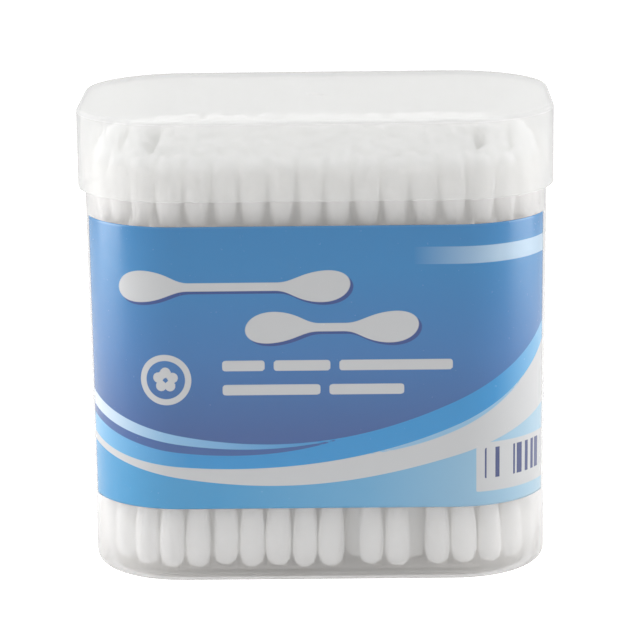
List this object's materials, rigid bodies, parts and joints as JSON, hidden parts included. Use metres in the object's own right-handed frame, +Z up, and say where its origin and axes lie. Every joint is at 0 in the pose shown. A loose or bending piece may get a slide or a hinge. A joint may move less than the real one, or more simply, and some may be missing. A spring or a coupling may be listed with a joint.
{
  "type": "canister of cotton swabs",
  "caption": "Clear rounded rectangular tub packed with upright cotton swabs, with a lift-off snap lid and a blue wrap-round front label.",
  "frame": {"origin": "middle of the foot, on the surface that the canister stands on", "axes": "+Z up, X along the wide side, -Y towards the label on the front"},
  "size_m": [0.0852, 0.0556, 0.0842],
  "materials": {
    "clear_plastic": "clear slightly milky moulded polypropylene",
    "clear_lid_plastic": "milky translucent moulded polypropylene",
    "label_film": "printed glossy film",
    "stick_plastic": "satin white polypropylene",
    "cotton": "wound cotton fibre"
  },
  "bodies": {
    "tub": {"tub": "clear_plastic", "label": "label_film", "cotton_tips_inner_ring": "cotton", "cotton_tips_outer_ring": "cotton", "cotton_tips_row_1": "cotton", "cotton_tips_row_2": "cotton", "cotton_tips_row_3": "cotton", "cotton_tips_row_4": "cotton", "cotton_tips_row_5": "cotton", "cotton_tips_row_6": "cotton", "cotton_tips_row_7": "cotton", "swab_sticks_inner_ring": "stick_plastic", "swab_sticks_outer_ring": "stick_plastic", "swab_sticks_row_1": "stick_plastic", "swab_sticks_row_2": "stick_plastic", "swab_sticks_row_3": "stick_plastic", "swab_sticks_row_4": "stick_plastic", "swab_sticks_row_5": "stick_plastic", "swab_sticks_row_6": "stick_plastic", "swab_sticks_row_7": "stick_plastic"},
    "lid": {"lid": "clear_lid_plastic"}
  },
  "joints": [
    {"name": "lid_lift", "type": "slide", "parent": "tub", "child": "lid", "axis": [0, 0, 1], "range_m": [0, 0.04]}
  ]
}
